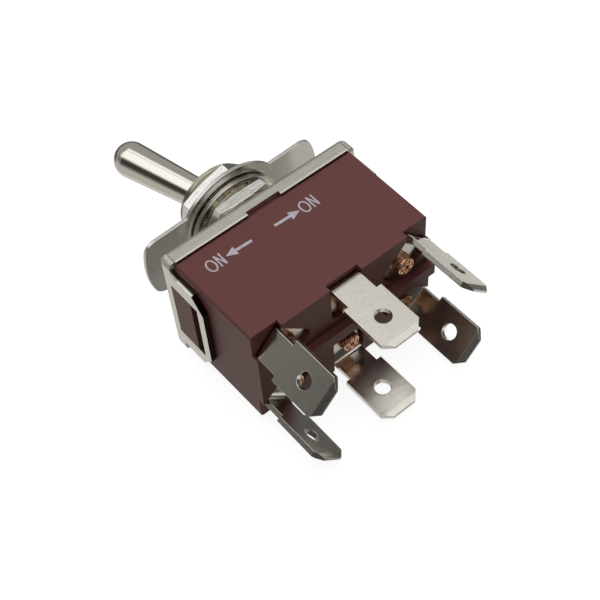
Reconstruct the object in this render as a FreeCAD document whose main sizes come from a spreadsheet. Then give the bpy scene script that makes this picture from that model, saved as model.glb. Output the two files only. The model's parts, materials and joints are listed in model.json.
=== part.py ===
# Two-pole panel toggle switch with tab terminals, lying on its back: the printed
# face looks up, the lever points to -Y and the six tabs to +Y. Every piece is drawn
# upright, with x along the case, y out of the printed face and z along the bushing,
# and place() then lays it down. The origin is where the bushing's axis meets the
# outer face of the cover. Millimetres and degrees.
import FreeCAD, Part
import math
import operator
import os
import types
import Sketcher
from FreeCAD import Placement, Rotation, Vector

SIZES = {
    # Folded steel cover
    "leg_gap": 0.05,
    "cover_width": 19.3,
    "cover_sheet": 0.8,
    "cover_corner": 1.0,
    "cover_fold": 0.75,
    "flange_depth": 2.45,
    "flange_notch_width": 5.6,
    "flange_notch_height": 0.65,
    "corner_depth": 2.3,
    "corner_gap": 0.1,
    "leg_width": 15.2,
    "leg_depth": 8.9,
    "leg_taper_depth": 6.85,
    "leg_end_width": 10.4,
    "window_width": 10.4,
    "window_top_depth": 1.85,
    "window_depth": 7.6,
    # Moulded case
    "case_length": 30.0,
    "case_width": 18.5,
    "case_round": 0.5,
    "end_draft": 0.7,
    "end_wall": 1.95,
    "side_wall": 1.6,
    "case_slip": 0.1,
    "rim_depth": 19.05,
    "rebate_gap": 0.12,
    "well_recess": 1.5,
    "well_gap": 0.25,
    "notch_recess": 1.03,
    "corner_notch_x": 4.45,
    "corner_notch_y": 4.1,
    "floor_thickness": 1.9,
    "ridge_height": 1.1,
    "ridge_width": 2.0,
    "ridge_inset": 2.8,
    "boss_gap": 0.2,
    "boss_height": 4.1,
    "partition_width": 1.2,
    "partition_height": 4.0,
    "liner_thickness": 0.3,
    # Threaded bushing and what is screwed or slipped on it
    "thread_radius": 6.0,
    "thread_slip": 0.03,
    "bushing_height": 10.95,
    "bushing_chamfer": 0.4,
    "bushing_flange_radius": 7.2,
    "bushing_flange_height": 1.0,
    "throat_radius": 3.0,
    "mouth_radius": 3.5,
    "skirt_radius": 4.75,
    "skirt_height": 5.85,
    "lower_nut_level": 2.15,
    "lower_nut_height": 1.75,
    "lower_nut_flats": 13.65,
    "lower_nut_yaw": 1.7,
    "upper_nut_height": 2.05,
    "upper_nut_flats": 13.45,
    "upper_nut_yaw": 21.7,
    "nut_seat_gap": 0.05,
    "nut_chamfer": 0.25,
    "washer_level": 4.85,
    "washer_radius": 7.45,
    "washer_band": 0.75,
    "washer_sheet": 0.6,
    "washer_tooth_width": 0.9,
    "washer_tooth_gap": 0.1,
    "plate_level": 5.75,
    "plate_sheet": 0.5,
    "plate_ring_radius": 9.1,
    "plate_wing_radius": 15.3,
    "plate_wing_width": 11.0,
    "plate_wing_round": 2.2,
    "plate_bore_gap": 0.15,
    "plate_yaw": 2.4,
    "dish_radius": 7.0,
    "dish_rise": 0.65,
    "dish_slope": 0.7,
    # Lever and what swings with it
    "pivot_height": 7.65,
    "lever_tilt": 15.0,
    "ball_radius": 3.6,
    "ball_fit": 0.05,
    "lever_root_radius": 2.06,
    "lever_tip_radius": 2.78,
    "lever_length": 17.7,
    "stem_radius": 1.5,
    "pin_radius": 0.9,
    "pin_length": 9.8,
    "pin_fit": 0.05,
    "pin_end_gap": 0.1,
    "actuator_headroom": 2.55,
    "actuator_length": 6.4,
    "actuator_width": 12.8,
    "actuator_edge": 0.5,
    "stem_grip": 1.5,
    "plunger_radius": 1.25,
    "plunger_lift": 0.86,
    "plunger_reach": 1.7,
    "plunger_hole_cap": 0.5,
    "plunger_fit": 0.1,
    "spring_room": 1.9,
    "spring_wire": 0.18,
    "spring_slip": 0.05,
    "spring_turns": 3.0,
    # Rockers and contacts
    "pole_spacing": 9.4,
    "rocker_offset": 2.535,
    "rocker_tilt": 8.0,
    "rocker_sheet": 0.8,
    "rocker_width": 3.4,
    "rocker_knee": 5.2,
    "rocker_end_gap": 3.15,
    "rocker_rise": 17.0,
    "bar_radius": 0.5,
    "bar_fit": 0.05,
    "bar_length": 5.4,
    "bracket_sheet": 0.8,
    "cheek_gap": 0.15,
    "cheek_sheet": 0.7,
    "cheek_foot": 3.4,
    "cheek_head": 2.6,
    "cheek_above_bar": 0.9,
    "contact_inset": 1.3,
    "contact_radius": 1.3,
    "contact_height": 0.6,
    "contact_gap": 0.05,
    "bracket_wall_gap": 0.85,
    "bracket_length": 5.0,
    "bracket_width": 4.0,
    # Terminals and their rivets
    "terminal_sheet": 0.8,
    "terminal_neck": 4.75,
    "terminal_bend": 0.9,
    "blade_width": 6.3,
    "blade_neck": 3.06,
    "blade_length": 8.29,
    "blade_hole_inset": 4.39,
    "blade_hole_radius": 1.175,
    "blade_corner": 1.26,
    "blade_bevel_height": 0.9,
    "blade_bevel": 0.25,
    "middle_rivet_inset": 4.95,
    "middle_out": 4.42,
    "middle_reach": 1.5,
    "middle_round": 1.2,
    "corner_rivet_inset_x": 5.21,
    "corner_rivet_inset_y": 5.08,
    "corner_yaw": 46.0,
    "corner_out": 4.32,
    "corner_reach": 2.9,
    "corner_round": 1.4,
    "rivet_radius": 1.0,
    "rivet_head_radius": 1.3,
    "rivet_head_height": 0.6,
    "rivet_flare_radius": 1.5,
    "rivet_flare_height": 1.5,
    "rivet_end_radius": 1.35,
    "rivet_end_edge": 0.15,
    "rivet_bore_radius": 0.35,
    "rivet_bore_depth": 2.1,
    "rivet_pit_start": 0.5,
    "rivet_pit_end": 1.05,
    "rivet_pit_width": 0.6,
    "rivet_pit_depth": 0.35,
}
WASHER_TEETH = 12
RIVET_PITS = 6
OPERATIONS = {"+": operator.add, "-": operator.sub, "*": operator.mul, "/": operator.truediv}
PLANES = {"x": "YZ_Plane", "y": "XZ_Plane", "z": "XY_Plane"}
LEFT_RIGHT = {"left": 1, "right": -1}
FRONT_REAR = {"front": 1, "rear": -1}
LAID_DOWN = Rotation(Vector(1, 0, 0), 90)

doc = FreeCAD.newDocument("panel_toggle_switch")
pieces = []


class Size:
    """A number together with the sheet expression that a property is bound to."""

    def __init__(self, number, text):
        self.number = number
        self.text = text

    def __float__(self):
        return float(self.number)

    def __add__(self, other):
        return combine(self, "+", other)

    def __radd__(self, other):
        return combine(other, "+", self)

    def __sub__(self, other):
        return combine(self, "-", other)

    def __rsub__(self, other):
        return combine(other, "-", self)

    def __mul__(self, other):
        return combine(self, "*", other)

    def __rmul__(self, other):
        return combine(other, "*", self)

    def __truediv__(self, other):
        return combine(self, "/", other)

    def __neg__(self):
        return combine(0, "-", self)


def as_size(value):
    """A plain number as a Size."""
    return value if isinstance(value, Size) else Size(value, repr(value))


def combine(first, sign, second):
    """The Size that two values give under one arithmetic sign."""
    first, second = as_size(first), as_size(second)
    number = OPERATIONS[sign](first.number, second.number)
    return Size(number, f"({first.text} {sign} {second.text})")


def of_angle(word, angle):
    """The sin, cos or tan of an angle in degrees."""
    angle = as_size(angle)
    return Size(getattr(math, word)(math.radians(float(angle))), f"{word}({angle.text} * 1 deg)")


def root(value):
    """The square root of a Size."""
    return Size(math.sqrt(float(value)), f"sqrt({value.text})")


def write_sheet():
    """Writes the sizes to the document's sheet and returns them by name."""
    sheet = doc.addObject("Spreadsheet::Sheet", "Sizes")
    named = {}
    for row, (alias, number) in enumerate(SIZES.items(), 1):
        sheet.set(f"A{row}", alias)
        sheet.set(f"B{row}", str(number))
        sheet.setAlias(f"B{row}", alias)
        named[alias] = Size(number, "Sizes." + alias)
    doc.recompute()
    return types.SimpleNamespace(**named)


def bind(thing, path, value):
    """Binds one property of an object to a size."""
    thing.setExpression(path, as_size(value).text)


def place(thing, label, x=0, y=0, z=0, turn=Rotation()):
    """Lays a finished piece down at its place and lists it under its label."""
    thing.Label = label
    upright = Placement(Vector(float(x), float(y), float(z)), turn)
    thing.Placement = Placement(Vector(), LAID_DOWN) * upright
    for path, value in (("x", x), ("y", -as_size(z)), ("z", y)):
        bind(thing, "Placement.Base." + path, value)
    pieces.append(thing)


def turned(angle):
    """A turn about the bushing's axis."""
    return Rotation(Vector(0, 0, 1), float(angle))


def tilted(angle):
    """A turn about an axis square to the printed face; plus leans to the left."""
    return Rotation(Vector(0, 1, 0), float(angle))


# Sketches and the features that grow from them
def sketch_across(body, name, along, level, x=0, y=0, angle=0):
    """An empty sketch square to an axis; its own axes are the other two, in order."""
    sketch = body.newObject("Sketcher::SketchObject", name)
    plane = next(f for f in body.Origin.OriginFeatures if f.Role == PLANES[along])
    sketch.AttachmentSupport = (plane, [""])
    sketch.MapMode = "FlatFace"
    # The plane across y looks towards -y
    depth = -as_size(level) if along == "y" else as_size(level)
    sketch.AttachmentOffset = Placement(Vector(float(x), float(y), float(depth)), turned(angle))
    for path, value in (("x", x), ("y", y), ("z", depth)):
        bind(sketch, "AttachmentOffset.Base." + path, value)
    return sketch


def fix_point(sketch, edge, end, across, up):
    """Holds one end of an edge at a place given by sizes."""
    for kind, value in (("DistanceX", across), ("DistanceY", up)):
        index = sketch.addConstraint(Sketcher.Constraint(kind, -1, 1, edge, end, float(value)))
        bind(sketch, f"Constraints[{index}]", value)


def arc_between(start, end, radius, way):
    """The arc from start to end, turning left for way 1 and right for way -1."""
    chord = end - start
    aside = Vector(-chord.y, chord.x, 0).normalize() * way
    height = math.sqrt(max(radius ** 2 - (chord.Length / 2) ** 2, 0))
    centre = (start + end) / 2 + aside * height
    first, last = (start, end) if way > 0 else (end, start)
    angles = [math.atan2(p.y - centre.y, p.x - centre.x) for p in (first, last)]
    circle = Part.Circle(centre, Vector(0, 0, 1), radius)
    return Part.ArcOfCircle(circle, *angles)


def outline(*corners):
    """Draws a closed outline; a corner with a radius and a way is reached by an arc."""
    def draw(sketch):
        base = sketch.GeometryCount
        count = len(corners)
        points = [Vector(float(c[0]), float(c[1]), 0) for c in corners]
        starts = {}
        for i, corner in enumerate(corners):
            start, end = points[i - 1], points[i]
            if len(corner) == 2:
                sketch.addGeometry(Part.LineSegment(start, end))
                starts[i] = 1
            else:
                sketch.addGeometry(arc_between(start, end, float(corner[2]), corner[3]))
                starts[i] = 1 if corner[3] > 0 else 2
        for i, corner in enumerate(corners):
            following = (i + 1) % count
            joint = (base + i, 3 - starts[i], base + following, starts[following])
            sketch.addConstraint(Sketcher.Constraint("Coincident", *joint))
            fix_point(sketch, base + i, 3 - starts[i], corner[0], corner[1])
            if len(corner) > 2:
                radius = Sketcher.Constraint("Radius", base + i, float(corner[2]))
                bind(sketch, f"Constraints[{sketch.addConstraint(radius)}]", corner[2])
    return draw


def rectangle(left, right, low, high):
    """A rectangle from its four sides."""
    return outline((left, low), (right, low), (right, high), (left, high))


def round_rectangle(half_length, half_width, radius):
    """A rectangle about the origin with rounded corners."""
    inner_x, inner_y = half_length - radius, half_width - radius
    return outline(
        (inner_x, -half_width), (half_length, -inner_y, radius, 1),
        (half_length, inner_y), (inner_x, half_width, radius, 1),
        (-inner_x, half_width), (-half_length, inner_y, radius, 1),
        (-half_length, -inner_y), (-inner_x, -half_width, radius, 1))


def circle(radius, across=0, up=0):
    """A circle from its radius and centre."""
    def draw(sketch):
        centre = Vector(float(across), float(up), 0)
        edge = sketch.addGeometry(Part.Circle(centre, Vector(0, 0, 1), float(radius)))
        fix_point(sketch, edge, 3, across, up)
        index = sketch.addConstraint(Sketcher.Constraint("Radius", edge, float(radius)))
        bind(sketch, f"Constraints[{index}]", radius)
    return draw


def extrude(body, kind, name, along, low, high, *drawings, **where):
    """Adds or cuts what is drawn, between two levels along an axis."""
    low, high = as_size(low), as_size(high)
    start = high if along == "y" else low
    sketch = sketch_across(body, name + "_outline", along, start, **where)
    for draw in drawings:
        draw(sketch)
    feature = body.newObject("PartDesign::" + kind, name)
    feature.Profile = sketch
    feature.Length = float(high - low)
    bind(feature, "Length", high - low)
    feature.Reversed = kind == "Pocket"
    return feature


def add(body, name, along, low, high, *drawings, **where):
    """A pad between two levels."""
    return extrude(body, "Pad", name, along, low, high, *drawings, **where)


def cut(body, name, along, low, high, *drawings, **where):
    """A pocket between two levels."""
    return extrude(body, "Pocket", name, along, low, high, *drawings, **where)


def revolve(body, kind, name, draw):
    """Turns an outline, given by radius and height, about the upright axis."""
    sketch = sketch_across(body, name + "_outline", "y", 0)
    draw(sketch)
    feature = body.newObject("PartDesign::" + kind, name)
    feature.Profile = sketch
    feature.ReferenceAxis = (sketch, ["V_Axis"])
    feature.Angle = 360
    return feature


def repeat_round(body, name, feature, count):
    """Repeats a feature evenly about the upright axis."""
    axis = next(f for f in body.Origin.OriginFeatures if f.Role == "Z_Axis")
    pattern = body.newObject("PartDesign::PolarPattern", name)
    pattern.Originals = [feature]
    pattern.Axis = (axis, [""])
    pattern.Angle = 360
    pattern.Occurrences = count
    body.Tip = pattern
    return pattern


def edges_where(shape, test):
    """The names of the edges whose ends and middle all pass a test."""
    names = []
    for number, edge in enumerate(shape.Edges, 1):
        middle = edge.valueAt((edge.FirstParameter + edge.LastParameter) / 2)
        if all(test(p) for p in [v.Point for v in edge.Vertexes] + [middle]):
            names.append(f"Edge{number}")
    return names


def round_edges(body, name, radius, test):
    """Rounds the edges of the body's last feature that pass a test."""
    doc.recompute()
    last = body.Tip
    fillet = body.newObject("PartDesign::Fillet", name)
    fillet.Base = (last, edges_where(last.Shape, test))
    fillet.Radius = float(radius)
    bind(fillet, "Radius", radius)


def new_body(label):
    """An empty body for one piece."""
    return doc.addObject("PartDesign::Body", label)


# Lathe and mill forms put together as whole solids
def lathe_form(name, low, high, radius, end_radius=None, x=0, y=0):
    """A cylinder, or a cone where the top has another radius."""
    kind = "Cylinder" if end_radius is None else "Cone"
    thing = doc.addObject("Part::" + kind, name)
    values = {"Height": as_size(high) - low}
    if end_radius is None:
        values["Radius"] = radius
    else:
        values["Radius1"], values["Radius2"] = radius, end_radius
    values.update({"Placement.Base.x": x, "Placement.Base.y": y, "Placement.Base.z": low})
    for path, value in values.items():
        bind(thing, path, value)
    return thing


def cross_rod(name, radius, length, z=0):
    """A rod along y, centred on the bushing's axis."""
    thing = doc.addObject("Part::Cylinder", name)
    thing.Placement = Placement(Vector(0, -float(length) / 2, float(z)), Rotation(Vector(1, 0, 0), -90))
    values = {"Radius": radius, "Height": length}
    values.update({"Placement.Base.y": -length / 2, "Placement.Base.z": z})
    for path, value in values.items():
        bind(thing, path, value)
    return thing


def ball(name, radius, z=0, x=0, y=0):
    """A sphere."""
    thing = doc.addObject("Part::Sphere", name)
    for path, value in (("Radius", radius), ("Placement.Base.x", x),
                        ("Placement.Base.y", y), ("Placement.Base.z", z)):
        bind(thing, path, value)
    return thing


def block(name, x, y, z):
    """A box from its three pairs of sides."""
    thing = doc.addObject("Part::Box", name)
    for side, base, (low, high) in (("Length", "x", x), ("Width", "y", y), ("Height", "z", z)):
        bind(thing, side, as_size(high) - low)
        bind(thing, "Placement.Base." + base, low)
    return thing


def joined(name, *things):
    """Several solids as one."""
    thing = doc.addObject("Part::MultiFuse", name)
    thing.Shapes = list(things)
    thing.Refine = True
    return thing


def carved(name, base, *tools):
    """A solid without what the tools take away."""
    thing = doc.addObject("Part::Cut", name)
    thing.Base = base
    thing.Tool = tools[0] if len(tools) == 1 else joined(name + "_tools", *tools)
    return thing


def held_alone(name, thing):
    """One solid under a placement of its own."""
    held = doc.addObject("Part::Compound", name)
    held.Links = [thing]
    return held


d = write_sheet()

# Levels along the bushing, from the outer face of the cover
cover_under = -d.cover_sheet
case_top = cover_under - d.liner_thickness
rebate_level = -(d.flange_depth + d.rebate_gap)
rim_level = -d.rim_depth
well_level = rim_level + d.well_recess
cavity_level = well_level + d.floor_thickness
bracket_top = cavity_level + d.bracket_sheet
foot_under = well_level - d.terminal_sheet
bushing_foot = cover_under - d.bushing_flange_height
dish_top = d.plate_level + d.plate_sheet + d.dish_rise
upper_nut_level = dish_top + d.nut_seat_gap
rocker_level = (case_top + cavity_level) / 2 - d.rocker_offset
shoulder_level = rim_level - d.blade_neck
tip_level = shoulder_level - d.blade_length

# Distances below the pivot with the lever upright
plunger_end = d.pivot_height - rocker_level - d.plunger_lift
actuator_top = d.pivot_height - bushing_foot + d.actuator_headroom
actuator_end = plunger_end - d.plunger_reach
spring_top = actuator_top + d.plunger_hole_cap
plunger_top = spring_top + d.spring_room

# Sizes across
case_x, case_y = d.case_length / 2, d.case_width / 2
cover_x, cover_y = case_x + d.leg_gap + d.cover_sheet, d.cover_width / 2
cavity_x, cavity_y = case_x - d.end_wall, case_y - d.side_wall
rim_x = case_x - (rebate_level - rim_level) * of_angle("tan", d.end_draft)
collar_y = cover_y - d.cover_sheet - d.case_slip
pole_y = d.pole_spacing / 2
rocker_reach = cavity_x - d.rocker_end_gap
contact_reach = rocker_reach - d.contact_inset
bracket_reach = cavity_x - d.bracket_wall_gap
middle_rivet_y = case_y - d.middle_rivet_inset
corner_rivet_x, corner_rivet_y = case_x - d.corner_rivet_inset_x, case_y - d.corner_rivet_inset_y
thread_bore = d.thread_radius + d.thread_slip
bend_outer = d.terminal_bend + d.terminal_sheet
bend_level = foot_under - d.terminal_bend
neck_x = d.terminal_neck / 2
# How much further a cut runs than what it cuts
OVER = 0.1


def terminal_spots():
    """The name, place, turn and foot sizes of each of the six terminals."""
    spots = []
    middle = (d.middle_out, d.middle_reach, d.middle_round)
    corner = (d.corner_out, d.corner_reach, d.corner_round)
    for face, up in FRONT_REAR.items():
        flat = 0 if up > 0 else 180
        spots.append((f"{face}_middle", 0, middle_rivet_y * up, flat, *middle))
        for hand, side in LEFT_RIGHT.items():
            x, y = corner_rivet_x * side, corner_rivet_y * up
            angle = flat - float(d.corner_yaw) * side * up
            spots.append((f"{face}_{hand}", x, y, angle, *corner))
    return spots


def foot_outline(half_width, reach, radius, out):
    """A tongue with a rounded inner end about the rivet, straight out to the bend."""
    inner = half_width - radius
    return outline(
        (-half_width, out), (-half_width, radius - reach),
        (-inner, -reach, radius, 1), (inner, -reach),
        (half_width, radius - reach, radius, 1), (half_width, out))


# Housing
def make_cover():
    """Top plate, two side flanges and two windowed end legs, folded from one sheet."""
    body = new_body("cover_frame")
    add(body, "plate", "z", cover_under, 0, round_rectangle(cover_x, cover_y, d.cover_corner),
        circle(d.thread_radius))
    inner = cover_x - d.cover_sheet
    flange_x = cover_x - d.cover_corner - d.corner_gap
    notch_x = d.flange_notch_width / 2
    notch_top = d.flange_notch_height - d.flange_depth
    for face, up in FRONT_REAR.items():
        low, high = spread(up, cover_y - d.cover_sheet, cover_y)
        add(body, f"{face}_flange", "y", low, high, outline(
            (-flange_x, cover_under), (-flange_x, -d.flange_depth), (-notch_x, -d.flange_depth),
            (-notch_x, notch_top), (notch_x, notch_top), (notch_x, -d.flange_depth),
            (flange_x, -d.flange_depth), (flange_x, cover_under)))
    leg_y = d.leg_width / 2
    end_y = d.leg_end_width / 2
    for hand, side in LEFT_RIGHT.items():
        low, high = spread(side, inner, cover_x)
        add(body, f"{hand}_leg", "x", low, high, rectangle(-leg_y, leg_y, -d.leg_depth, cover_under))
        for face, up in FRONT_REAR.items():
            add(body, f"{face}_{hand}_corner", "z", -d.corner_depth, cover_under, outline(
                (inner * side, leg_y * up), (cover_x * side, leg_y * up),
                (cover_x * side, (cover_y - d.cover_corner) * up),
                ((cover_x - d.cover_corner) * side, cover_y * up, d.cover_corner, side * up),
                ((cover_x - d.cover_corner) * side, (cover_y - d.cover_sheet) * up),
                (inner * side, (cover_y - d.cover_sheet) * up)))
        below = -d.leg_depth - OVER
        corners = [outline((leg_y * up, -d.leg_taper_depth), ((leg_y + OVER) * up, -d.leg_taper_depth),
                           ((leg_y + OVER) * up, below), (end_y * up, below), (end_y * up, -d.leg_depth))
                   for up in FRONT_REAR.values()]
        window_y = d.window_width / 2
        window = rectangle(-window_y, window_y, -d.window_depth, -d.window_top_depth)
        cut(body, f"{hand}_leg_outline", "x", low, high, window, *corners)
    reach_x, reach_y = float(cover_x) - 1e-3, float(cover_y) - 1e-3
    round_edges(body, "fold", d.cover_fold,
                lambda p: abs(p.z) < 1e-6 and (abs(p.x) > reach_x or abs(p.y) > reach_y))
    place(body, "cover_frame")


def spread(side, near, far):
    """Two distances from the middle as a low and a high level on one side."""
    return (as_size(near), as_size(far)) if side > 0 else (-as_size(far), -as_size(near))


def make_case():
    """Moulded box, open at the top, with wells for the terminals in its underside."""
    body = new_body("case")
    add(body, "shell", "y", -case_y, case_y, outline(
        (-rim_x, rim_level), (rim_x, rim_level), (case_x, rebate_level), (-case_x, rebate_level)))
    reach_x, reach_y = float(rim_x) - 1e-3, float(case_y) - 1e-3
    round_edges(body, "corner_round", d.case_round, lambda p: abs(p.x) > reach_x and abs(p.y) > reach_y)
    add(body, "collar", "z", rebate_level, case_top, rectangle(-case_x, case_x, -collar_y, collar_y))
    ridge_y = d.ridge_width / 2
    add(body, "ridge", "z", rim_level - d.ridge_height, rim_level,
        rectangle(-rim_x, rim_x - d.ridge_inset, -ridge_y, ridge_y))
    cut(body, "cavity", "z", cavity_level, case_top, rectangle(-cavity_x, cavity_x, -cavity_y, cavity_y))
    partition_y = d.partition_width / 2
    add(body, "partition", "z", cavity_level, cavity_level + d.partition_height,
        rectangle(-cavity_x, cavity_x, -partition_y, partition_y))
    boss_y = d.window_width / 2 - d.boss_gap
    boss_top = -d.window_top_depth - d.boss_gap
    for hand, side in LEFT_RIGHT.items():
        low, high = spread(side, case_x - d.end_wall / 2, cover_x)
        add(body, f"{hand}_boss", "x", low, high,
            rectangle(-boss_y, boss_y, boss_top - d.boss_height, boss_top))
    notch_level = rim_level + d.notch_recess
    middle_x = neck_x + d.well_gap
    inner_x, inner_y = case_x - d.corner_notch_x, case_y - d.corner_notch_y
    for face, up in FRONT_REAR.items():
        low, high = spread(up, inner_y, case_y)
        cut(body, f"{face}_middle_notch", "z", rim_level, notch_level,
            rectangle(-middle_x, middle_x, low, high))
        for hand, side in LEFT_RIGHT.items():
            start, end = spread(side, inner_x, case_x)
            cut(body, f"{face}_{hand}_notch", "z", rim_level, notch_level,
                rectangle(start, end, low, high))
    for name, x, y, angle, out, reach, radius in terminal_spots():
        well = foot_outline(neck_x + d.well_gap, reach + d.well_gap, radius, out - d.well_gap)
        cut(body, name + "_well", "z", rim_level, well_level, well, x=x, y=y, angle=angle)
        cut(body, name + "_rivet_hole", "z", well_level, cavity_level, circle(d.rivet_radius), x=x, y=y)
    place(body, "case")


def make_liner():
    """Fibre sheet between the cover and the open top of the case."""
    body = new_body("insulating_sheet")
    add(body, "sheet", "z", case_top, cover_under, rectangle(-case_x, case_x, -collar_y, collar_y),
        circle(d.bushing_flange_radius + d.case_slip))
    place(body, "insulating_sheet")


def make_bushing():
    """Threaded bushing with a ball seat, a pin slot and a flange under the cover."""
    seat_radius = d.ball_radius + d.ball_fit
    throat_level = d.pivot_height + root(seat_radius * seat_radius - d.throat_radius * d.throat_radius)
    shoulder = d.bushing_height - d.bushing_chamfer
    skirt_top = bushing_foot + d.skirt_height
    slot_x = d.pin_radius + d.pin_fit
    slot_y = d.pin_length / 2 + d.pin_end_gap
    slot_width = 2 * slot_y
    outside = joined(
        "bushing_outside",
        lathe_form("bushing_thread", bushing_foot, shoulder, d.thread_radius),
        lathe_form("bushing_end", shoulder, d.bushing_height, d.thread_radius,
                   d.thread_radius - d.bushing_chamfer),
        lathe_form("bushing_flange", bushing_foot, cover_under, d.bushing_flange_radius))
    bushing = carved(
        "bushing", outside,
        ball("ball_seat", seat_radius, d.pivot_height),
        lathe_form("bushing_bore", skirt_top, d.pivot_height, seat_radius),
        lathe_form("bushing_skirt", bushing_foot, skirt_top, d.skirt_radius, seat_radius),
        lathe_form("bushing_throat", d.pivot_height, throat_level, d.throat_radius),
        lathe_form("bushing_mouth", throat_level, d.bushing_height, d.throat_radius, d.mouth_radius),
        cross_rod("pin_slot_end", slot_x, slot_width, d.pivot_height),
        block("pin_slot", (-slot_x, slot_x), (-slot_y, slot_y), (bushing_foot, d.pivot_height)))
    place(bushing, "bushing")


def make_nut(label, level, height, flats, yaw):
    """Thin hexagon nut with both faces chamfered."""
    corner = flats / math.sqrt(3)
    prism = doc.addObject("Part::Prism", label + "_hexagon")
    prism.Polygon = 6
    bind(prism, "Circumradius", corner)
    bind(prism, "Height", height)
    turning = joined(
        label + "_turning",
        lathe_form(label + "_lower_chamfer", 0, d.nut_chamfer, flats / 2, corner),
        lathe_form(label + "_middle", d.nut_chamfer, height - d.nut_chamfer, corner),
        lathe_form(label + "_upper_chamfer", height - d.nut_chamfer, height, corner, flats / 2))
    form = doc.addObject("Part::Common", label + "_form")
    form.Base, form.Tool = prism, turning
    nut = carved(label, form, lathe_form(label + "_bore", 0, height, thread_bore))
    place(nut, label, z=level, turn=turned(-float(yaw)))


def make_lock_washer():
    """Lock washer with teeth on its inside."""
    body = new_body("lock_washer")
    band_inner = d.washer_radius - d.washer_band
    tooth_tip = thread_bore + d.washer_tooth_gap
    tooth_y = d.washer_tooth_width / 2
    top = d.washer_level + d.washer_sheet
    add(body, "band", "z", d.washer_level, top, circle(d.washer_radius), circle(band_inner))
    tooth = add(body, "tooth", "z", d.washer_level, top,
                rectangle(tooth_tip, band_inner + d.washer_band / 2, -tooth_y, tooth_y))
    repeat_round(body, "teeth", tooth, WASHER_TEETH)
    place(body, "lock_washer")


def make_legend_plate():
    """Pressed plate with two wings and a raised seat for the upper nut."""
    body = new_body("legend_plate")
    top = d.plate_level + d.plate_sheet
    wing_y = d.plate_wing_width / 2
    wing_x = root(d.plate_wing_radius * d.plate_wing_radius - wing_y * wing_y)
    bore = thread_bore + d.plate_bore_gap
    add(body, "ring", "z", d.plate_level, top, circle(d.plate_ring_radius))
    add(body, "wings", "z", d.plate_level, top, outline(
        (-wing_x, -wing_y, d.plate_wing_radius, 1), (wing_x, -wing_y),
        (wing_x, wing_y, d.plate_wing_radius, 1), (-wing_x, wing_y)))
    near, side = float(wing_x) - 1e-3, float(wing_y) - 1e-3
    round_edges(body, "wing_corners", d.plate_wing_round,
                lambda p: abs(p.x) > near and abs(abs(p.y) - side) < 2e-3)
    foot = d.dish_radius + d.dish_slope
    revolve(body, "Revolution", "dish", outline(
        (bore, d.plate_level), (foot, d.plate_level), (foot, top), (d.dish_radius, dish_top),
        (bore, dish_top)))
    hollow_top = dish_top - d.plate_sheet
    revolve(body, "Groove", "hollow", outline(
        (0, d.plate_level), (foot - d.plate_sheet, d.plate_level),
        (d.dish_radius - d.plate_sheet, hollow_top), (0, hollow_top)))
    cut(body, "bore", "z", d.plate_level, dish_top, circle(bore))
    place(body, "legend_plate", turn=turned(-float(d.plate_yaw)))


# Lever group, drawn about the pivot and then tilted
def place_on_lever(thing, label):
    """Puts a piece of the lever group at the pivot, leaning as the lever does."""
    place(thing, label, z=d.pivot_height, turn=tilted(d.lever_tilt))


def make_lever():
    """Turned lever with a ball, a tapered handle and a stem for the actuator."""
    stem_end = -actuator_top - d.stem_grip
    solid = joined(
        "lever_solid",
        ball("lever_ball", d.ball_radius),
        lathe_form("lever_handle", 0, d.lever_length, d.lever_root_radius, d.lever_tip_radius),
        ball("lever_tip", d.lever_tip_radius, d.lever_length),
        lathe_form("lever_stem", stem_end, 0, d.stem_radius))
    lever = carved("lever", solid, cross_rod("lever_pin_hole", d.pin_radius, d.pin_length))
    place_on_lever(lever, "lever")


def make_pivot_pin():
    """Pin through the ball, whose ends turn in the bushing's slot."""
    rod = cross_rod("pivot_pin_rod", d.pin_radius, d.pin_length)
    place_on_lever(held_alone("pivot_pin", rod), "pivot_pin")


def make_actuator():
    """Nylon block on the stem that holds the two sprung plungers."""
    body = new_body("actuator")
    half_x, half_y = d.actuator_length / 2, d.actuator_width / 2
    top, under = -actuator_top, -actuator_end
    edge = d.actuator_edge
    add(body, "block", "y", -half_y, half_y, outline(
        (-half_x, under + edge), (-half_x + edge, under), (half_x - edge, under),
        (half_x, under + edge), (half_x, top), (-half_x, top)))
    cut(body, "stem_hole", "z", top - d.stem_grip, top, circle(d.stem_radius))
    bore = d.plunger_radius + d.plunger_fit
    for face, up in FRONT_REAR.items():
        cut(body, f"{face}_plunger_hole", "z", under, -spring_top, circle(bore, 0, pole_y * up))
    place_on_lever(body, "actuator")


def make_plunger(face, up):
    """Pin with a round nose that wipes along a rocker."""
    label = f"{face}_plunger"
    body = new_body(label)
    radius = d.plunger_radius
    revolve(body, "Revolution", "pin", outline(
        (0, -plunger_top), (0, -plunger_end), (radius, radius - plunger_end, radius, 1),
        (radius, -plunger_top)))
    place(body, label, y=pole_y * up, z=d.pivot_height, turn=tilted(d.lever_tilt))


def make_spring(face, up):
    """Coil spring between a plunger and the closed end of its hole."""
    label = f"{face}_plunger_spring"
    wire = float(d.spring_wire)
    slip = float(d.spring_slip)
    radius = float(d.plunger_radius) - wire - slip
    low = wire + slip - float(plunger_top)
    height = -float(spring_top) - wire - slip - low
    pitch = height / float(d.spring_turns)
    foot = Vector(0, float(pole_y) * up, low)
    helix = Part.makeHelix(pitch, height, radius)
    helix.translate(foot)
    along = Vector(0, 2 * math.pi * radius, pitch)
    section = Part.Wire(Part.makeCircle(wire, foot + Vector(radius, 0, 0), along))
    spring = doc.addObject("Part::Feature", label)
    spring.Shape = Part.Wire(helix.Edges).makePipeShell([section], True, True)
    place_on_lever(spring, label)


# Rockers and contacts
knee_rise = d.rocker_knee * of_angle("tan", d.rocker_rise)
outer_slope = of_angle("tan", d.rocker_tilt)


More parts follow.
